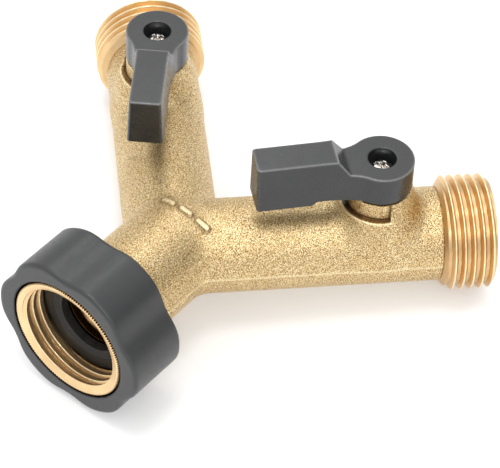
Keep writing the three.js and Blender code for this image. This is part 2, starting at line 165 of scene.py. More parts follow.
NUT_MOUTH = 37.25
NUT_BACK = 23.6
NUT_RADIUS = 15.2
NUT_FLANGE = 25.6
FEMALE_CREST = 12.85
FEMALE_ROOT = 13.55
FEMALE_PHASE = 35.15
FEMALE_FLAT = 0.23
FEMALE_VALLEY = 0.46
MOUTH_EDGE = 14.5
MOUTH_BEVEL_DEPTH = 0.75
KNURL_TEETH = 150
KNURL_DEPTH = 0.35
KNURL_CHAMFER = 0.15
WASHER_FRONT = 30.2
WASHER_BACK = 27.7
WASHER_HOLE = 8.0
WASHER_RADIUS = 12.95
COLLAR_FRONT = 27.4
COLLAR_BACK = 25.9
TAIL_RADIUS = 9.6
TAIL_BORE = 6.8
TAIL_MOUTH_BORE = 7.6
TAIL_LEDGE = 24.6
TAIL_LEDGE_RISE = 1.0
TAIL_END = 13.5
TAIL_RING_PLACE = 18.0

SLEEVE_FRONT = 37.25
SLEEVE_BACK = 21.8
SLEEVE_BORE = 15.6
SLEEVE_MIDDLE = 19.69
SLEEVE_LOBE = 0.775
SLEEVE_SHOULDER = 0.163

SOFTBOX_DISTANCE = 1.2
DARK_AZIMUTH = -45

# ---- Camera --------------------------------------------------------------------------

CAMERA_TARGET = Vector((14.89, -10.62, 0.0))
CAMERA_HEADING = math.radians(36.507)
CAMERA_DROP = math.radians(46.105)
CAMERA_ROLL = math.radians(2.837)
CAMERA_DISTANCE = 551.6
CAMERA_LENS = 170.74


def add_camera():
    flat = math.cos(CAMERA_DROP)
    looking = Vector(
        (
            flat * math.cos(CAMERA_HEADING),
            flat * math.sin(CAMERA_HEADING),
            -math.sin(CAMERA_DROP),
        )
    )
    level = looking.cross(Vector((0, 0, 1))).normalized()
    above = level.cross(looking)
    right = level * math.cos(CAMERA_ROLL) + above * math.sin(CAMERA_ROLL)
    up = right.cross(looking)
    place = CAMERA_TARGET - looking * CAMERA_DISTANCE
    turn = TO_FRAME.to_3x3() * (1 / MM)
    pose = Matrix([turn @ right, turn @ up, turn @ -looking]).transposed().to_4x4()
    pose.translation = TO_FRAME @ place
    data = bpy.data.cameras.new("camera")
    data.lens = CAMERA_LENS
    data.sensor_width = 36
    data.clip_start = 0.01
    data.clip_end = 50
    camera = bpy.data.objects.new("camera", data)
    camera.matrix_world = pose
    bpy.context.scene.collection.objects.link(camera)
    bpy.context.scene.camera = camera


# ---- Meshes --------------------------------------------------------------------------


def enclosed_volume(vertices, faces):
    first = vertices[faces[:, 0]]
    total = 0.0
    for k in range(1, faces.shape[1] - 1):
        crossed = np.cross(vertices[faces[:, k]], vertices[faces[:, k + 1]])
        total += np.einsum("ij,ij->", first, crossed)
    return total


def add_piece(name, vertices, faces, body, look, marks=None, turn=0.0, place=(0, 0, 0)):
    """A mesh piece from local millimetres, turned about Z, placed, and carried to the frame."""
    if enclosed_volume(vertices, faces) < 0:
        faces = faces[:, ::-1]
    local = Matrix.Translation(Vector(place)) @ Matrix.Rotation(turn, 4, "Z")
    matrix = np.array(TO_FRAME @ local)
    placed = vertices @ matrix[:3, :3].T + matrix[:3, 3]
    corners = faces.shape[1]
    mesh = bpy.data.meshes.new(name)
    mesh.vertices.add(len(placed))
    mesh.vertices.foreach_set("co", placed.astype(np.float32).ravel())
    mesh.loops.add(faces.size)
    mesh.loops.foreach_set("vertex_index", faces.astype(np.int32).ravel())
    mesh.polygons.add(len(faces))
    mesh.polygons.foreach_set("loop_start", np.arange(len(faces), dtype=np.int32) * corners)
    mesh.update(calc_edges=True)
    mesh.validate()
    mesh.polygons.foreach_set("use_smooth", np.ones(len(mesh.polygons), bool))
    mesh.set_sharp_from_angle(angle=math.radians(38))
    for key, values in (marks or {}).items():
        attribute = mesh.attributes.new(key, "FLOAT", "POINT")
        attribute.data.foreach_set("value", values.astype(np.float32))
    obj = bpy.data.objects.new(name, mesh)
    bpy.context.scene.collection.objects.link(obj)
    obj.data.materials.append(look)
    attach(obj, body)
    return obj


def revolved(radii, heights):
    """A closed body from a profile for each angle: arrays of angles by profile points."""
    turns, points = radii.shape
    angle = np.arange(turns)[:, None] * (2 * math.pi / turns)
    vertices = np.stack([radii * np.cos(angle), radii * np.sin(angle), heights], -1)
    around = np.arange(turns)[:, None]
    along = np.arange(points)[None, :]
    here = around * points + along
    next_point = around * points + (along + 1) % points
    next_turn = (around + 1) % turns * points + along
    both = (around + 1) % turns * points + (along + 1) % points
    faces = np.stack([here, next_turn, both, next_point], -1).reshape(-1, 4)
    return vertices.reshape(-1, 3), faces


def softened(profile, radius, steps=4):
    """The closed profile with each corner rounded off."""
    points = [Vector(p) for p in profile]
    out = []
    for k, corner in enumerate(points):
        before = points[k - 1] - corner
        after = points[(k + 1) % len(points)] - corner
        half = (math.pi - before.angle(after, math.pi)) / 2
        if half < math.radians(4):
            out.append(tuple(corner))
            continue
        reach = min(radius * math.tan(half), before.length * 0.45, after.length * 0.45)
        start = corner + before.normalized() * reach
        end = corner + after.normalized() * reach
        for step in range(steps + 1):
            t = step / steps
            out.append(tuple((1 - t) ** 2 * start + 2 * t * (1 - t) * corner + t * t * end))
    return out


def turned(profile, sides=96, round_off=0.15):
    """A turned body from a closed profile of (radius, height) points, all off the axis."""
    soft = np.array(softened(profile, round_off))
    radii = np.tile(soft[:, 0], (sides, 1))
    heights = np.tile(soft[:, 1], (sides, 1))
    return revolved(radii, heights)


def onto_axis(vertices, side=None):
    """Lays a body drawn about Z along an arm, or along the inlet when no side is given."""
    x, y, z = vertices.T
    if side is None:
        return np.stack([-z, y, x], -1)
    c, s = math.cos(SIDES[side] * ARM_ANGLE), math.sin(SIDES[side] * ARM_ANGLE)
    return np.stack([c * z + s * y, s * z - c * y, x], -1)


# ---- Solids from distance fields -----------------------------------------------------


def smooth_min(a, b, k):
    h = np.clip(0.5 + 0.5 * (b - a) / k, 0, 1)
    return b * (1 - h) + a * h - k * h * (1 - h)


def smooth_max(a, b, k):
    return -smooth_min(-a, -b, k)


def crossing_vertices(values, active):
    """For each active cell, the mean of the points where the surface crosses its edges."""
    offsets = np.array([[i, j, k] for i in (0, 1) for j in (0, 1) for k in (0, 1)])
    corners = values[
        active[:, None, 0] + offsets[:, 0],
        active[:, None, 1] + offsets[:, 1],
        active[:, None, 2] + offsets[:, 2],
    ]
    total = np.zeros((len(active), 3))
    count = np.zeros(len(active))
    for a in range(8):
        for b in range(a + 1, 8):
            if np.abs(offsets[a] - offsets[b]).sum() != 1:
                continue
            va, vb = corners[:, a], corners[:, b]
            crosses = (va < 0) != (vb < 0)
            t = np.where(crosses, va / np.where(va == vb, 1, va - vb), 0)
            point = offsets[a] + t[:, None] * (offsets[b] - offsets[a])
            total += point * crosses[:, None]
            count += crosses
    return active + total / count[:, None]


def surface_quads(inside, ids):
    """The quads that join the cells around each grid edge that the surface crosses."""
    quads = []
    for axis in range(3):
        a, b = (axis + 1) % 3, (axis + 2) % 3
        low = np.take(inside, range(inside.shape[axis] - 1), axis)
        high = np.take(inside, range(1, inside.shape[axis]), axis)
        changed = low != high
        edge = np.argwhere(changed)
        edge = edge[(edge[:, a] > 0) & (edge[:, b] > 0)]
        edge = edge[(edge[:, a] < ids.shape[a]) & (edge[:, b] < ids.shape[b])]
        cells = []
        for da, db in ((1, 1), (0, 1), (0, 0), (1, 0)):
            cell = edge.copy()
            cell[:, a] -= da
            cell[:, b] -= db
            cells.append(ids[cell[:, 0], cell[:, 1], cell[:, 2]])
        quad = np.stack(cells, -1)
        leaving = low[edge[:, 0], edge[:, 1], edge[:, 2]]
        quads.append(np.where(leaving[:, None], quad, quad[:, ::-1]))
    return np.concatenate(quads)


def pulled_to_surface(field, points, reach, rounds=3):
    """Moves points down the field's gradient onto its zero surface."""
    nudge = 0.02
    for _ in range(rounds):
        value = field(*points.T)
        slope = np.stack(
            [
                (field(*(points + step).T) - field(*(points - step).T)) / (2 * nudge)
                for step in np.eye(3) * nudge
            ],
            -1,
        )
        size = np.maximum((slope**2).sum(1), 0.05)
        move = -value[:, None] * slope / size[:, None]
        length = np.linalg.norm(move, axis=1, keepdims=True)
        points = points + move * np.minimum(1, reach / np.maximum(length, 1e-9))
    return points


def evened(points, quads):
    """Each point moved half way to the middle of its neighbours."""
    total = np.zeros_like(points)
    count = np.zeros(len(points))
    for k in range(4):
        here, there = quads[:, k], quads[:, (k + 1) % 4]
        np.add.at(total, here, points[there])
        np.add.at(total, there, points[here])
        np.add.at(count, here, 1)
        np.add.at(count, there, 1)
    return points * 0.5 + total / count[:, None] * 0.5


def from_field(field, low, high, step):
    """A closed quad mesh of the surface where the distance field is zero."""
    axes = [np.arange(a, b + step, step) for a, b in zip(low, high)]
    y, z = np.meshgrid(axes[1], axes[2], indexing="ij")
    values = np.stack([field(np.full_like(y, x), y, z) for x in axes[0]]).astype(np.float32)
    inside = values < 0
    corner_sum = np.zeros([n - 1 for n in inside.shape], np.int8)
    for i in (0, 1):
        for j in (0, 1):
            for k in (0, 1):
                nx, ny, nz = corner_sum.shape
                corner_sum += inside[i : i + nx, j : j + ny, k : k + nz]
    active = np.argwhere((corner_sum > 0) & (corner_sum < 8))
    ids = np.full(corner_sum.shape, -1, np.int32)
    ids[tuple(active.T)] = np.arange(len(active))
    points = crossing_vertices(values, active) * step + np.array([a[0] for a in axes])
    quads = surface_quads(inside, ids)
    points = pulled_to_surface(field, points, step / 2)
    for _ in range(2):
        points = pulled_to_surface(field, evened(points, quads), step / 2)
    return points, quads


# ---- Materials -----------------------------------------------------------------------


class Look:
    """A small helper that builds one procedural material."""

    def __init__(self, name):
        self.material = bpy.data.materials.new(name)
        self.material.use_nodes = True
        self.tree = self.material.node_tree
        self.shader = self.tree.nodes["Principled BSDF"]
        self.place = self.tree.nodes.new("ShaderNodeTexCoord").outputs["Object"]

    def node(self, kind, settings=None, **inputs):
        made = self.tree.nodes.new(kind)
        for key, value in (settings or {}).items():
            setattr(made, key, value)
        for key, value in inputs.items():
            self.feed(made.inputs[key.replace("_", " ")], value)
        return made

    def feed(self, socket, value):
        if isinstance(value, bpy.types.NodeSocket):
            self.tree.links.new(value, socket)
        else:
            socket.default_value = value

    def set(self, **values):
        for key, value in values.items():
            self.feed(self.shader.inputs[key.replace("_", " ")], value)

    def noise(self, scale, detail=2.0, roughness=0.5, vector=None):
        source = self.place if vector is None else vector
        made = self.node(
            "ShaderNodeTexNoise", Vector=source, Scale=scale, Detail=detail, Roughness=roughness
        )
        return made.outputs["Fac"]

    def cells(self, scale, feature="F1", output="Distance"):
        made = self.node(
            "ShaderNodeTexVoronoi", {"feature": feature}, Vector=self.place, Scale=scale
        )
        return made.outputs[output]

    def ramp(self, value, stops):
        made = self.node("ShaderNodeValToRGB", Fac=value)
        elements = made.color_ramp.elements
        while len(elements) < len(stops):
            elements.new(0.5)
        for element, (position, color) in zip(elements, stops):
            element.position = position
            shade = color if isinstance(color, tuple) else (color,) * 3
            element.color = (*shade, 1.0)
        return made.outputs["Color"]

    def math(self, operation, a, b=0.0):
        made = self.tree.nodes.new("ShaderNodeMath")
        made.operation = operation
        self.feed(made.inputs[0], a)
        self.feed(made.inputs[1], b)
        return made.outputs[0]

    def blend(self, amount, a, b, mode="MIX"):
        made = self.tree.nodes.new("ShaderNodeMix")
        made.data_type = "RGBA"
        made.blend_type = mode
        self.feed(made.inputs["Factor"], amount)
        for socket, value in ((made.inputs[6], a), (made.inputs[7], b)):
            self.feed(socket, (*value, 1.0) if isinstance(value, tuple) else value)
        return made.outputs[2]

    def bump(self, height, depth, strength=1.0, below=None):
        made = self.node(
            "ShaderNodeBump", Strength=strength, Distance=depth, Height=height
        )
        if below is not None:
            self.feed(made.inputs["Normal"], below)
        return made.outputs["Normal"]

    def attribute(self, name):
        made = self.tree.nodes.new("ShaderNodeAttribute")
        made.attribute_name = name
        return made.outputs["Fac"]


def forged_brass():
    """Sandblasted forging: pale gold, grainy, with sparkling facets."""
    look = Look("forged_brass")
    patches = look.noise(90, 4)
    grains = look.noise(5200, 1.0, 0.5)
    facets = look.cells(4500, output="Distance")
    tone = look.ramp(patches, [(0.3, (0.90, 0.86, 0.80)), (0.75, (1.0, 1.0, 1.0))])
    speck = look.ramp(
        grains,
        [(0.36, (0.13, 0.07, 0.02)), (0.5, (0.70, 0.48, 0.21)), (0.63, (1.0, 0.88, 0.58))],
    )
    skin = look.blend(1.0, speck, tone, "MULTIPLY")
    # Paler: wear on the parting line and raised bars, and a painted highlight along the notch rims.
    wear_and_highlight = look.blend(look.attribute("wear_and_highlight"), skin, (1.0, 0.86, 0.55))
    look.set(
        # Dark brown: painted shade at the feet of the raised bars, on the notch ledges and in the notch corners.
        Base_Color=look.blend(look.attribute("painted_shade"), wear_and_highlight, (0.12, 0.06, 0.02)),
        Metallic=1.0,
        Roughness=look.ramp(grains, [(0.35, 0.55), (0.7, 0.32)]),
        Normal=look.bump(facets, 0.00007, 0.5, look.bump(grains, 0.0001, 0.8)),
    )
    return look.material


def machined_brass():
    """Turned brass: fine tool lines along 'along', paler at 'crest' (worn crests, and painted highlights), darker
    where painted shade is marked.
    """
    look = Look("machined_brass")
    line = look.node(
        "ShaderNodeTexNoise", {"noise_dimensions": "1D"}, Scale=9.0, Detail=3.0
    )
    look.feed(line.inputs["W"], look.attribute("along"))
    stain = look.noise(260, 3)
    tone = look.ramp(stain, [(0.3, (0.76, 0.51, 0.25)), (0.7, (0.86, 0.61, 0.33))])
    wear_and_highlight = look.ramp(look.attribute("crest"), [(0.88, 0.0), (1.0, 1.0)])
    # Paler on worn thread crests, and as painted highlight on the nut's crest edges, its mouth bevel and the
    # tailpiece bore.
    bare = look.blend(wear_and_highlight, tone, (1.0, 0.86, 0.56))
    look.set(
        # Near black: painted shade in thread valleys, between the knurl teeth and in the tailpiece mouth.
        Base_Color=look.blend(look.attribute("painted_shade"), bare, (0.05, 0.025, 0.01)),
        Metallic=1.0,
        Roughness=look.ramp(line.outputs["Fac"], [(0.3, 0.28), (0.7, 0.42)]),
        Normal=look.bump(line.outputs["Fac"], 0.00004, 0.5),
    )
    return look.material


def moulded_plastic():
    look = Look("lever_plastic")
    fine = look.noise(400, 2)
    wide = look.noise(70, 2)
    tone = look.ramp(wide, [(0.3, (0.014, 0.015, 0.016)), (0.7, (0.020, 0.021, 0.022))])
    look.set(
        # Paler grey along the edges: painted highlight.
        Base_Color=look.blend(look.attribute("edge"), tone, (0.20, 0.20, 0.20)),
        IOR=1.55,
        Roughness=look.ramp(fine, [(0.3, 0.24), (0.7, 0.30)]),
        Normal=look.bump(wide, 0.00005, 0.3),
    )
    return look.material


def grip_rubber():
    """Satin rubber, painted wholly black in the gap round the nut, as painted shade."""
    look = Look("grip_rubber")
    fine = look.noise(1200, 3, 0.6)
    wide = look.noise(60, 3)
    tone = look.ramp(wide, [(0.3, (0.026, 0.027, 0.028)), (0.7, (0.034, 0.035, 0.036))])
    look.set(
        # Black and fully metallic where painted shade is marked, so the gap round the nut shows no reflection.
        Base_Color=look.blend(look.attribute("painted_shade"), tone, (0.002, 0.002, 0.002)),
        Metallic=look.attribute("painted_shade"),
        IOR=1.52,
        Roughness=look.ramp(fine, [(0.3, 0.32), (0.7, 0.44)]),
        Normal=look.bump(fine, 0.00004, 0.4),
    )
    return look.material


def seal_rubber():
    look = Look("seal_rubber")
    fine = look.noise(900, 3)
    look.set(
        Base_Color=look.ramp(fine, [(0.3, (0.010,) * 3), (0.7, (0.018,) * 3)]),
        Roughness=look.ramp(fine, [(0.3, 0.45), (0.7, 0.6)]),
        Normal=look.bump(fine, 0.00004, 0.4),
    )
    return look.material


def white_ptfe():
    look = Look("white_ptfe")
    fine = look.noise(500, 2)
    look.set(
        Base_Color=look.ramp(fine, [(0.3, (0.84, 0.84, 0.81)), (0.7, (0.90, 0.90, 0.88))]),
        Roughness=look.ramp(fine, [(0.3, 0.35), (0.7, 0.45)]),
        Subsurface_Weight=0.1,
        Normal=look.bump(fine, 0.00003, 0.3),
    )
    return look.material


def bright_chrome():
    look = Look("bright_chrome")
    fine = look.noise(1400, 2)
    look.set(
        Base_Color=look.ramp(fine, [(0.3, (0.70, 0.66, 0.61)), (0.7, (0.82, 0.79, 0.75))]),
        Metallic=1.0,
        Roughness=look.ramp(fine, [(0.3, 0.06), (0.7, 0.12)]),
        Normal=look.bump(fine, 0.00002, 0.3),
    )
    return look.material


LOOKS = {
    "forged_brass": forged_brass(),
    "machined_brass": machined_brass(),
    "lever_plastic": moulded_plastic(),
    "grip_rubber": grip_rubber(),
    "seal_rubber": seal_rubber(),
    "white_ptfe": white_ptfe(),
    "bright_chrome": bright_chrome(),
}

# ---- Forged body ---------------------------------------------------------------------


def arm_places(x, y, side):
    """Distances along an arm, outwards from it, and from the stem towards the body."""
    along = (x + side * y) * ROOT_HALF
    outward = (side * y - x) * ROOT_HALF
    return along, outward, STEM_PLACE - along


def from_marks(x, y):
    """Distance in plan from the middle lines of three short bars in a row."""
    nearest = np.inf
    for bar in range(3):
        middle = MARKS_PLACE[1] - bar * MARKS_SPACING
        past_end = np.maximum(np.abs(y - middle) - MARK_HALF_LENGTH, 0)
        nearest = np.minimum(nearest, np.hypot(x - MARKS_PLACE[0], past_end))
    return nearest


def raised_marks(x, y, z):
    side = np.clip((MARK_HALF_WIDTH - from_marks(x, y)) / MARK_SLOPE, 0, 1)
    return MARK_HEIGHT * side * (z > 0)


def forged_outside(x, y, z):
    neck = np.hypot(np.hypot(y, z), np.maximum(x, 0)) - NECK_RADIUS
    arms = []
    for side in SIDES.values():
        along, outward, inward = arm_places(x, y, side)
        past_origin = np.minimum(along, 0)
        arm = np.sqrt(outward**2 + z**2 + past_origin**2) - ARM_RADIUS
        taper = (BOSS_WAIST_RADIUS - BOSS_TOP_RADIUS) / (BOSS_TOP - BOSS_WAIST)
        flank = BOSS_TOP_RADIUS + taper * (BOSS_TOP - np.maximum(z, BOSS_WAIST - 3))
        around_stem = (np.hypot(inward, outward) - flank) / math.hypot(1, taper)
        boss = np.maximum(smooth_max(around_stem, z - BOSS_TOP, 0.3), -z)
        arms.append(smooth_min(arm, boss, BOSS_BLEND))
    body = smooth_min(smooth_min(arms[0], arms[1], 1.5), neck, 1.4)
    parting = PARTING_HEIGHT * np.exp(-((z / PARTING_WIDTH) ** 2))
    return body - parting - raised_marks(x, y, z)


def notch_wedge(inward, outward):
    """Distance in plan from the two upright side walls of the notch."""
    first = -(inward * math.sin(NOTCH_SPARE) + outward * math.cos(NOTCH_SPARE))
    second = -(inward * math.cos(NOTCH_SPARE) + outward * math.sin(NOTCH_SPARE))
    return np.maximum(first, second)


def valve_notch(inward, outward, z):
    core = NOTCH_CORE - np.hypot(inward, outward)
    return np.maximum(np.maximum(notch_wedge(inward, outward), core), NOTCH_FLOOR - z)


def forged_body(x, y, z):
    body = forged_outside(x, y, z)
    around_inlet = np.hypot(y, z)
    hollow = smooth_min(
        np.maximum(around_inlet - PASSAGE_RADIUS, x),
        np.maximum(around_inlet - SOCKET_RADIUS, x - SOCKET_END),
        0.2,
    )
    for side in SIDES.values():
        along, outward, inward = arm_places(x, y, side)
        around_arm = np.hypot(outward, z)
        around_stem = np.hypot(inward, outward)
        passage = np.maximum(around_arm - PASSAGE_RADIUS, -along)
        chamber = np.maximum(around_arm - CHAMBER_RADIUS, CHAMBER_START - along)
        stem_bore = np.maximum(around_stem - STEM_BORE, -z)
        hollow = np.minimum(np.minimum(hollow, passage), np.minimum(chamber, stem_bore))
        body = smooth_max(body, -valve_notch(inward, outward, z), 0.25)
        body = smooth_max(body, along - MALE_START, 0.3)
    body = smooth_max(body, NECK_END - x, 0.6)
    return smooth_max(body, -hollow, 0.3)


def forging_wear_and_painted_light(x, y, z):
    """How much paler each point of the forging is (wear on the parting line and raised bars, a painted highlight
    on the notch rims), and how much darker (painted shade).
    """
    wear_and_highlight = np.exp(-((z / PARTING_WIDTH) ** 2)) * 0.6
    from_bar = from_marks(x, y)
    on_mark = (z > 0) * (from_bar < MARK_HALF_WIDTH - MARK_SLOPE)
    # Painted shade round the foot of each raised bar.
    foot = (z > 0) * np.exp(-(((from_bar - MARK_HALF_WIDTH - 0.1) / 0.35) ** 2))
    wear_and_highlight = np.maximum(wear_and_highlight, on_mark * 0.7)
    painted_shade = foot * 0.55
    outside_field = forged_outside(x, y, z)
    for side in SIDES.values():
        along, outward, inward = arm_places(x, y, side)
        outside = np.hypot(inward, outward)
        in_notch = valve_notch(inward, outward, z)
        high = z > NOTCH_FLOOR - 1.2
        # Painted highlight along the notch rim.
        rim = high * (outside > NOTCH_CORE + 0.9) * np.exp(-((in_notch / 0.25) ** 2))
        wear_and_highlight = np.maximum(wear_and_highlight, NOTCH_RIM_HIGHLIGHT * rim * (outside_field > -0.3))
        # Painted shade on the notch ledge, darkest at the foot of the core.
        ledge = (in_notch < 0.15) * (z < NOTCH_FLOOR + 0.4) * (outside_field < -0.35)
        foot = np.exp(-(((outside - NOTCH_CORE) / 0.9) ** 2))
        painted_shade = np.maximum(painted_shade, ledge * (0.6 + 0.35 * foot))
        # Painted shade in the notch corners.
        corner = (outside < NOTCH_CORE + 0.5) * np.exp(-((notch_wedge(inward, outward) / 0.4) ** 2))
        on_core = (z > NOTCH_FLOOR) * (outside > NOTCH_CORE - 0.3)
        painted_shade = np.maximum(painted_shade, NOTCH_CORNER_SHADE * corner * on_core)
    return {"wear_and_highlight": wear_and_highlight, "painted_shade": painted_shade}


def add_forged_body():
    reach = (MALE_START + ARM_RADIUS) * ROOT_HALF + 2
    low = (NECK_END - 1, -reach, -NECK_RADIUS - 1)
    high = (reach, reach, BOSS_TOP + 1)
    step = 0.3
    vertices, faces = from_field(forged_body, low, high, step)
    wear_and_painted_light = forging_wear_and_painted_light(*vertices.T)
    look = LOOKS["forged_brass"]
    piece = add_piece("body_forging", vertices, faces, "splitter_body", look, wear_and_painted_light)
    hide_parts("body")


# ---- Threads -------------------------------------------------------------------------


def from_crest(travel):
    """Distance along the axis from the middle of the nearest crest, in pitches."""
    return np.abs((travel + 0.5) % 1.0 - 0.5)


def thread_height(travel, flat=0.05, root=0.34):
    """Height of the thread form, from 0 in the root to 1 on the crest, travel in pitches."""
    rise = np.clip((root - from_crest(travel)) / (root - flat), 0, 1)
    return rise * rise * (3 - 2 * rise) * 0.35 + rise * 0.65


def tool_marks(vertices, valley=1.0, crest=0.0):
    """Where each point lies along the cutter's path, how near it is to a thread crest, and painted shade in the
    thread valleys.
    """
    radius = np.hypot(vertices[:, 0], vertices[:, 1])
    nearness = np.clip((radius - valley) / (crest - valley), 0, 1)
    # Painted shade in the valleys, away from the crests.
    painted_shade = 0.22 * np.clip(1 - 3 * nearness, 0, 1) * (crest > 0)
    return {"along": vertices[:, 2] + radius, "crest": nearness, "painted_shade": painted_shade}


def add_outlet_thread(side):
    turns = 240
    angle = np.arange(turns)[:, None] * (2 * math.pi / turns)
    heights = np.linspace(MALE_START, MALE_END, 140)[None, :]
    travel = (heights - THREAD_PHASE) / THREAD_PITCH - angle / (2 * math.pi)
    thread = MALE_ROOT + (MALE_CREST - MALE_ROOT) * thread_height(travel)
    lead = ARM_RADIUS + (heights - MALE_START) * (MALE_CREST - ARM_RADIUS) / MALE_LEAD
    tail = MALE_ROOT - 0.1 + (MALE_END - heights) * 1.5
    outside = np.minimum(np.minimum(thread, lead), tail)
    start = ARM_RADIUS + (heights - MALE_START) * 1.1
    outside = np.maximum(outside, np.minimum(start, MALE_ROOT))
    inner = np.array([CHAMBER_RADIUS + 0.45, CHAMBER_RADIUS, CHAMBER_RADIUS])
    inner_heights = np.array([MALE_END, MALE_END - 0.45, MALE_START])
    radii = np.concatenate([outside, np.tile(inner, (turns, 1))], 1)
    tall = np.concatenate(
        [np.tile(heights, (turns, 1)), np.tile(inner_heights, (turns, 1))], 1
    )
    vertices, faces = revolved(radii, tall)
    # Paler on the worn crests, painted shade in the valleys.
    piece = add_piece(
        f"outlet_thread_{side}",
        onto_axis(vertices, side),
        faces,
        "splitter_body",
        LOOKS["machined_brass"],
        tool_marks(vertices, MALE_ROOT, MALE_CREST),
    )
    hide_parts("body")


# ---- Levers and their screws ---------------------------------------------------------


def bezier(points, steps=24):
    t = np.linspace(0, 1, steps)[:, None]
    a, b, c, d = (np.array(point, float) for point in points)
    return (1 - t) ** 3 * a + 3 * t * (1 - t) ** 2 * b + 3 * t**2 * (1 - t) * c + t**3 * d


HUB_CORNER = (HUB_RADIUS * math.cos(HUB_OPENING), HUB_RADIUS * math.sin(HUB_OPENING))
NECK_CURVE = bezier(
    [
        HUB_CORNER,
        (HUB_CORNER[0] + 2, HUB_CORNER[1] - 1),
        (2 * HUB_RADIUS - 4, GRIP_HALF_WIDTH),
        (2 * HUB_RADIUS, GRIP_HALF_WIDTH),
    ]
)


def lever_top(x, z):
    """The flat hub, the ramp up from it, and the higher flat of the grip."""
    rise = (GRIP_TOP - HUB_TOP) / (RAMP_HEAD - RAMP_FOOT)
    ramp = ((z - HUB_TOP) - (x - RAMP_FOOT) * rise) / math.hypot(1, rise)
    return smooth_max(z - GRIP_TOP, smooth_min(z - HUB_TOP, ramp, 0.25), 0.2)


def lever_plan(x, y, z):
    """The round hub with the narrowing grip, as distance from their upright sides."""
    draft = np.clip((x - 5) / 5, 0, 1) * GRIP_DRAFT * (z - GRIP_BOTTOM)
    width = np.interp(x, NECK_CURVE[:, 0], NECK_CURVE[:, 1]) - draft
    neck = smooth_max(np.abs(y) - width, x - GRIP_END, 0.85)
    neck = np.maximum(neck, -x)
    return smooth_min(np.hypot(x, y) - HUB_RADIUS, neck, 0.3)


def lever_edge_highlight(x, y, z):
    """Where the top meets the sides, and the grip's upright corners: a paler painted highlight."""
    draft = GRIP_DRAFT * (z - GRIP_BOTTOM)
    from_rim = np.hypot(lever_plan(x, y, z), lever_top(x, z))
    from_corner = np.hypot(np.abs(y) - GRIP_HALF_WIDTH + draft, x - GRIP_END)
    from_head = np.hypot(x - RAMP_HEAD, z - GRIP_TOP)
    rim = np.exp(-((np.minimum(from_rim, from_head) / 0.28) ** 2))
    corner = 0.5 * np.exp(-((from_corner / 0.4) ** 2))
    return np.maximum(rim, corner)


def lever_field(x, y, z):
    plan = lever_plan(x, y, z)
    step = -((x - UNDERSIDE_STEP + 1) + (z - HUB_BOTTOM)) / math.sqrt(2)
    under = np.maximum(GRIP_BOTTOM - z, smooth_min(HUB_BOTTOM - z, step, 0.3))
    lever = smooth_max(smooth_max(plan, lever_top(x, z), 0.36), under, 0.36)
    around = np.hypot(x, y)
    angle = np.abs(np.arctan2(y, x))
    lug = np.maximum(np.maximum(LUG_INNER - around, around - LUG_OUTER), NOTCH_FLOOR + 0.3 - z)
    lug = np.maximum(lug, (angle - LUG_HALF_ANGLE) * around)
    lever = np.minimum(lever, smooth_max(lug, z - HUB_BOTTOM - 1, 0.2))
    recess = np.maximum(around - SCREW_RECESS, SCREW_SEAT - z)
    hole = np.maximum(around - SCREW_SHANK - 0.3, SQUARE_TOP - 0.5 - z)
    socket = np.maximum(np.maximum(np.abs(x), np.abs(y)) - SQUARE_SOCKET, z - SQUARE_TOP)
    hollow = np.minimum(np.minimum(recess, hole), socket)
    return smooth_max(lever, -hollow, 0.3)


def screw_field(x, y, z):
    around = np.hypot(x, y)
    dome = SCREW_CROWN - 0.35 * (around / SCREW_HEAD) ** 2
    head = smooth_max(around - SCREW_HEAD, z - dome, 0.9)
    head = smooth_max(head, SCREW_SEAT + 0.3 - z, 0.1)
    shank = smooth_max(around - SCREW_SHANK, SCREW_TIP - z, 0.2)
    shank = np.maximum(shank, z - SCREW_SEAT - 1)
    depth = (SCREW_CROWN - z) / 1.3
    blade = 1.75 - 1.0 * depth
    cross = np.minimum(
        np.maximum(np.abs(x) - 0.42 + 0.1 * depth, np.abs(y) - blade),
        np.maximum(np.abs(y) - 0.42 + 0.1 * depth, np.abs(x) - blade),
    )
    cross = smooth_min(cross, around - 1.0 + 0.6 * depth, 0.1)
    cross = np.maximum(cross, SCREW_CROWN - 1.3 - z)
    return smooth_max(smooth_min(head, shank, 0.1), -cross, 0.1)


def add_lever(side):
    low = (-HUB_RADIUS - 1, -HUB_RADIUS - 1, NOTCH_FLOOR - 1)
    high = (GRIP_END + 1, HUB_RADIUS + 1, GRIP_TOP + 1)
    step = 0.17
    vertices, faces = from_field(lever_field, low, high, step)
    place = stem_place(side)
    heading = lever_heading(side)
    body = f"valve_{side}"
    look = LOOKS["lever_plastic"]
    lever = add_piece(
        f"lever_handle_{side}",
        vertices,
        faces,
        body,
        look,
        {"edge": lever_edge_highlight(*vertices.T)},
        heading,
        place,
    )
    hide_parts(f"lever_{side}")
    reach = SCREW_HEAD + 0.2
    low, high = (-reach, -reach, SCREW_TIP - 0.2), (reach, reach, SCREW_CROWN + 0.2)
    vertices, faces = from_field(screw_field, low, high, 0.07)
    turn = heading + math.radians(40) * SIDES[side]
    look = LOOKS["bright_chrome"]
    screw = add_piece(f"screw_{side}", vertices, faces, body, look, turn=turn, place=place)
    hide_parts(f"lever_screw_{side}")


# ---- Ball valves inside the arms ---------------------------------------------------


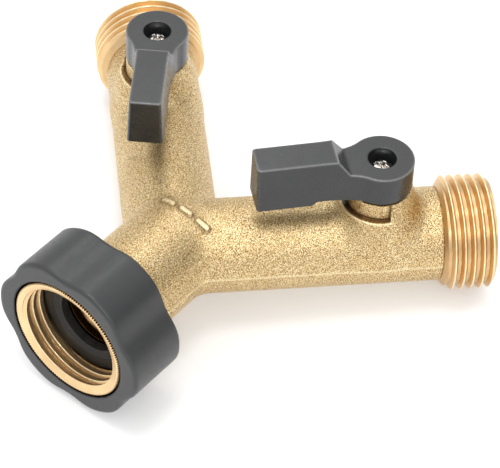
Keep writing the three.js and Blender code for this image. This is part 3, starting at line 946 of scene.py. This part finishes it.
def add_ball(side):
    """A ball about the origin with its port along X, turned with its lever."""
    half = math.sqrt(BALL_RADIUS**2 - PORT_RADIUS**2)
    reach = math.acos(PORT_RADIUS / BALL_RADIUS)
    latitudes = np.linspace(-reach, reach, 40)
    radii = np.append(BALL_RADIUS * np.cos(latitudes), [PORT_RADIUS] * 2)
    heights = np.append(BALL_RADIUS * np.sin(latitudes), [half * 0.5, -half * 0.5])
    vertices, faces = revolved(np.tile(radii, (96, 1)), np.tile(heights, (96, 1)))
    place = stem_place(side)
    along_x = vertices[:, [2, 1, 0]]
    look = LOOKS["bright_chrome"]
    turn = lever_heading(side)
    ball = add_piece(
        f"ball_smooth_{side}", along_x, faces, f"valve_{side}", look, turn=turn, place=place
    )
    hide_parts(f"ball_{side}")


def seat_outline():
    clear = BALL_RADIUS + 1.3 * GAP
    lip = STEM_FLANGE + 1.5 * GAP
    inner = PORT_RADIUS + GAP
    outer = CHAMBER_RADIUS - GAP
    back = BALL_RADIUS + 2 * GAP
    cone = np.linspace(math.asin(inner / clear), math.acos(lip / clear), 8)
    bowl = [(clear * math.sin(a), clear * math.cos(a)) for a in cone]
    return [(inner, back), (outer, back), (outer, lip), *bowl[::-1]]


def add_seats(side):
    for place, towards in (("outer", 1), ("inner", -1)):
        vertices, faces = turned(seat_outline(), 96, 0.12)
        vertices[:, 2] = STEM_PLACE + towards * vertices[:, 2]
        laid = onto_axis(vertices, side)
        look = LOOKS["white_ptfe"]
        seat = add_piece(f"seat_ring_{place}_{side}", laid, faces, "splitter_body", look)
        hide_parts(f"seat_{place}_{side}")


def retainer_field(x, y, z):
    around = np.hypot(x, y)
    ring = np.maximum(around - CHAMBER_RADIUS + GAP, PORT_RADIUS + 2 * GAP - around)
    ring = smooth_max(ring, np.maximum(z - RETAINER_END, RETAINER_START - z), 0.25)
    slots = np.maximum(np.abs(y) - 1.1, RETAINER_END - 1.6 - z)
    return smooth_max(ring, -slots, 0.2)


def add_retainer(side):
    low = (-CHAMBER_RADIUS, -CHAMBER_RADIUS, RETAINER_START - 0.5)
    high = (CHAMBER_RADIUS, CHAMBER_RADIUS, RETAINER_END + 0.5)
    vertices, faces = from_field(retainer_field, low, high, 0.25)
    # Paler at the port, painted shade towards the chamber wall.
    marks = tool_marks(vertices, CHAMBER_RADIUS, PORT_RADIUS)
    vertices[:, 2] += STEM_PLACE
    look = LOOKS["machined_brass"]
    laid = onto_axis(vertices, side)
    ring = add_piece(f"retainer_slotted_{side}", laid, faces, "splitter_body", look, marks)
    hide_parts(f"seat_retainer_{side}")


# ---- Inlet ---------------------------------------------------------------------------


def sleeve_field(x, y, z):
    """A soft sleeve about Z: six broad lobes with hollows between, one lobe on the X axis."""
    around = np.hypot(x, y)
    angle = np.arctan2(y, x)
    rise = SLEEVE_LOBE * np.cos(6 * angle) - SLEEVE_SHOULDER * np.cos(12 * angle)
    outside = around - SLEEVE_MIDDLE - rise
    ends = np.maximum(z - SLEEVE_FRONT, SLEEVE_BACK - z)
    sleeve = smooth_max(outside, ends, 1.1)
    bore = np.maximum(around - SLEEVE_BORE, NUT_BACK - 0.3 - z)
    bore = np.minimum(bore, around - NECK_RADIUS - 0.6)
    return smooth_max(sleeve, -bore, 0.3)


def add_sleeve():
    reach = SLEEVE_MIDDLE + 2
    low, high = (-reach, -reach, SLEEVE_BACK - 1), (reach, reach, SLEEVE_FRONT + 1)
    vertices, faces = from_field(sleeve_field, low, high, 0.35)
    turned_about = vertices[:, [1, 0, 2]] * np.array([1, -1, 1])
    look = LOOKS["grip_rubber"]
    around = np.hypot(vertices[:, 0], vertices[:, 1])
    # Painted shade: the sleeve's bore round the nut is marked black.
    marks = {"painted_shade": np.clip((SLEEVE_BORE + 0.3 - around) / 0.15, 0, 1)}
    piece = add_piece("nut_sleeve", onto_axis(turned_about), faces, "swivel", look, marks)
    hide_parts("nut_grip")


def add_swivel_nut():
    """The nut, revolved: female helix inside, bevelled mouth, serrated rim outside."""
    turns = KNURL_TEETH * 8
    angle = np.arange(turns)[:, None] * (2 * math.pi / turns)
    tooth = np.abs((angle * KNURL_TEETH / (2 * math.pi)) % 1.0 - 0.5) * 2
    knurl = NUT_RADIUS - KNURL_DEPTH * tooth
    heights = np.linspace(WASHER_FRONT + 0.3, NUT_MOUTH - 0.02, 130)[None, :]
    travel = (heights - FEMALE_PHASE) / THREAD_PITCH - angle / (2 * math.pi)
    form = thread_height(travel, FEMALE_FLAT, FEMALE_VALLEY)
    thread = FEMALE_ROOT - (FEMALE_ROOT - FEMALE_CREST) * form
    depth = (NUT_MOUTH - heights) / MOUTH_BEVEL_DEPTH
    bevel = MOUTH_EDGE - (MOUTH_EDGE - FEMALE_CREST) * depth
    inside = np.where(depth < 1, np.maximum(thread, bevel), thread)
    flat = np.ones((turns, 1))
    before = [
        (FEMALE_ROOT * flat, NUT_FLANGE),
        (FEMALE_ROOT * flat, WASHER_FRONT + 0.2),
    ]
    after = [
        (MOUTH_EDGE * flat, NUT_MOUTH),
        (knurl - KNURL_CHAMFER, NUT_MOUTH),
        (knurl, NUT_MOUTH - KNURL_CHAMFER),
        (knurl, NUT_BACK + 0.2),
        (knurl - 0.2, NUT_BACK),
        ((TAIL_RADIUS + 0.5) * flat, NUT_BACK),
        ((TAIL_RADIUS + 0.3) * flat, NUT_BACK + 0.2),
        ((TAIL_RADIUS + 0.3) * flat, NUT_FLANGE - 0.2),
        ((TAIL_RADIUS + 0.5) * flat, NUT_FLANGE),
    ]
    threaded = [(inside, np.tile(heights, (turns, 1)))]
    rings = before + threaded + after
    radii = np.concatenate([radius for radius, _ in rings], 1)
    tall = np.concatenate([height * flat for _, height in rings], 1)
    vertices, faces = revolved(radii, tall)
    look = LOOKS["machined_brass"]
    marks = tool_marks(vertices, FEMALE_ROOT, FEMALE_CREST)
    radius = np.hypot(vertices[:, 0], vertices[:, 1])
    turn_angle = np.arctan2(vertices[:, 1], vertices[:, 0])
    travel = (vertices[:, 2] - FEMALE_PHASE) / THREAD_PITCH - turn_angle / (2 * math.pi)
    # Painted highlight along the deeper edge of each crest flat, and paler on the mouth bevel as painted
    # highlight.
    on_edge = np.exp(-(((from_crest(travel) - FEMALE_FLAT) / 0.07) ** 2))
    on_bevel = vertices[:, 2] > NUT_MOUTH - MOUTH_BEVEL_DEPTH
    marks["crest"] = np.maximum((0.88 + 0.12 * on_edge) * (marks["crest"] > 0.8), 0.90 * on_bevel)
    # Deeper painted shade in the thread valleys, none on the bevel.
    marks["painted_shade"] *= 1.3
    marks["painted_shade"][on_bevel & (radius > FEMALE_CREST)] = 0
    # Painted shade: the gaps between the knurl teeth are black.
    between_teeth = (radius > MOUTH_EDGE + 0.05) & (radius < NUT_RADIUS - 0.15)
    marks["painted_shade"][between_teeth & (vertices[:, 2] < NUT_MOUTH - 0.1)] = 1
    piece = add_piece("nut_turned", onto_axis(vertices), faces, "swivel", look, marks)
    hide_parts("swivel_nut")


def add_washer():
    """Rubber washer with three raised rings next to its hole."""
    rings = []
    for ring in range(3):
        middle = WASHER_HOLE + 0.55 + 0.75 * ring
        rings += [(middle - 0.25, WASHER_FRONT - 0.25), (middle, WASHER_FRONT)]
        rings += [(middle + 0.25, WASHER_FRONT - 0.25)]
    outline = [
        (WASHER_HOLE, WASHER_BACK),
        (WASHER_RADIUS, WASHER_BACK),
        (WASHER_RADIUS, WASHER_FRONT - 0.1),
        (WASHER_RADIUS - 0.5, WASHER_FRONT - 0.1),
        *rings[::-1],
        (WASHER_HOLE, WASHER_FRONT - 0.25),
    ]
    vertices, faces = turned(outline, 128, 0.12)
    look = LOOKS["seal_rubber"]
    piece = add_piece("washer_ringed", onto_axis(vertices), faces, "swivel", look)
    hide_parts("inlet_washer")


def add_tailpiece():
    """The collar and tube that hold the nut, painted black inside down to the ledge in the bore as painted shade,
    paler past it as a painted highlight.
    """
    groove_low, groove_high = TAIL_RING_PLACE - 0.95, TAIL_RING_PLACE + 0.95
    groove_floor = TAIL_RADIUS - 1.6
    outline = [
        (TAIL_BORE, TAIL_END),
        (TAIL_RADIUS, TAIL_END),
        (TAIL_RADIUS, groove_low),
        (groove_floor, groove_low),
        (groove_floor, groove_high),
        (TAIL_RADIUS, groove_high),
        (TAIL_RADIUS, COLLAR_BACK),
        (WASHER_RADIUS, COLLAR_BACK),
        (WASHER_RADIUS, COLLAR_FRONT),
        (TAIL_MOUTH_BORE, COLLAR_FRONT),
        (TAIL_MOUTH_BORE, TAIL_LEDGE + TAIL_LEDGE_RISE),
        (TAIL_BORE, TAIL_LEDGE),
    ]
    vertices, faces = turned(outline, 128, 0.15)
    look = LOOKS["machined_brass"]
    # Paler in the narrow bore past the ledge: painted highlight.
    marks = tool_marks(vertices, TAIL_MOUTH_BORE, TAIL_BORE)
    # Painted shade: black from the ledge up through the mouth of the bore.
    marks["painted_shade"] = np.clip((vertices[:, 2] - TAIL_LEDGE) / TAIL_LEDGE_RISE * 2 - 0.7, 0, 1)
    piece = add_piece("tailpiece_turned", onto_axis(vertices), faces, "splitter_body", look, marks)
    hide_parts("inlet_tailpiece")


# ---- Scene ---------------------------------------------------------------------------


def dress_hidden_nodes():
    """The carried-over CAD nodes take the finished material of their slot."""
    slots = {row["node"]: row["material_slot"] for row in frame["record"]["subparts"]}
    for name, node in frame["nodes"].items():
        node.data.materials.clear()
        node.data.materials.append(LOOKS[slots[name]])


def add_floor():
    look = Look("floor")
    mottle = look.noise(3, 2)
    look.set(
        Base_Color=look.ramp(mottle, [(0.3, (0.79,) * 3), (0.7, (0.80,) * 3)]),
        Roughness=0.7,
        Emission_Color=(1.0, 1.0, 1.0, 1.0),
        Emission_Strength=0.22,
    )
    half = 4.0
    mesh = bpy.data.meshes.new("floor")
    corners = [(-half, -half, 0), (half, -half, 0), (half, half, 0), (-half, half, 0)]
    mesh.from_pydata(corners, [], [(0, 1, 2, 3)])
    mesh.materials.append(look.material)
    floor = bpy.data.objects.new("floor", mesh)
    bpy.context.scene.collection.objects.link(floor)


def heading(azimuth, elevation):
    a, e = math.radians(azimuth), math.radians(elevation)
    return Vector((math.cos(e) * math.cos(a), math.cos(e) * math.sin(a), math.sin(e)))


def add_softbox(name, azimuth, elevation, size, power):
    data = bpy.data.lights.new(name, "AREA")
    data.shape = "DISK"
    data.size = size
    data.energy = power
    light = bpy.data.objects.new(name, data)
    towards = heading(azimuth, elevation)
    light.location = towards * SOFTBOX_DISTANCE
    light.rotation_euler = (-towards).to_track_quat("-Z", "Y").to_euler()
    bpy.context.scene.collection.objects.link(light)


def add_surroundings():
    """A white tent: brighter overhead, darker low down on one side."""
    world = bpy.data.worlds.new("studio")
    world.use_nodes = True
    tree = world.node_tree
    around = tree.nodes.new("ShaderNodeTexCoord").outputs["Generated"]

    def brightness(towards, stops):
        facing = tree.nodes.new("ShaderNodeVectorMath")
        facing.operation = "DOT_PRODUCT"
        tree.links.new(around, facing.inputs[0])
        facing.inputs[1].default_value = towards
        ramp = tree.nodes.new("ShaderNodeValToRGB")
        tree.links.new(facing.outputs["Value"], ramp.inputs["Fac"])
        for element, (position, value) in zip(ramp.color_ramp.elements, stops):
            element.position = position
            element.color = (value, value, value, 1.0)
        return ramp.outputs["Color"]

    overhead = brightness(heading(0, 90), [(0.2, 0.85), (0.95, 1.3)])
    dark_side = brightness(heading(DARK_AZIMUTH, 5), [(0.7, 1.0), (0.96, 0.35)])
    product = tree.nodes.new("ShaderNodeMix")
    product.data_type = "RGBA"
    product.blend_type = "MULTIPLY"
    product.inputs["Factor"].default_value = 1.0
    tree.links.new(overhead, product.inputs[6])
    tree.links.new(dark_side, product.inputs[7])
    tree.links.new(product.outputs[2], tree.nodes["Background"].inputs["Color"])
    bpy.context.scene.world = world


def add_studio():
    add_surroundings()
    bpy.context.scene.view_settings.view_transform = "Standard"
    add_softbox("softbox_top", 0, 90, 0.34, 2.7)
    add_softbox("softbox_front", -134, 47, 0.3, 2.4)
    add_softbox("softbox_back", 40, 52, 0.5, 1.3)


add_camera()
add_forged_body()
add_sleeve()
add_swivel_nut()
add_washer()
add_tailpiece()
for side in SIDES:
    add_outlet_thread(side)
    add_lever(side)
    add_ball(side)
    add_seats(side)
    add_retainer(side)
dress_hidden_nodes()
add_floor()
add_studio()
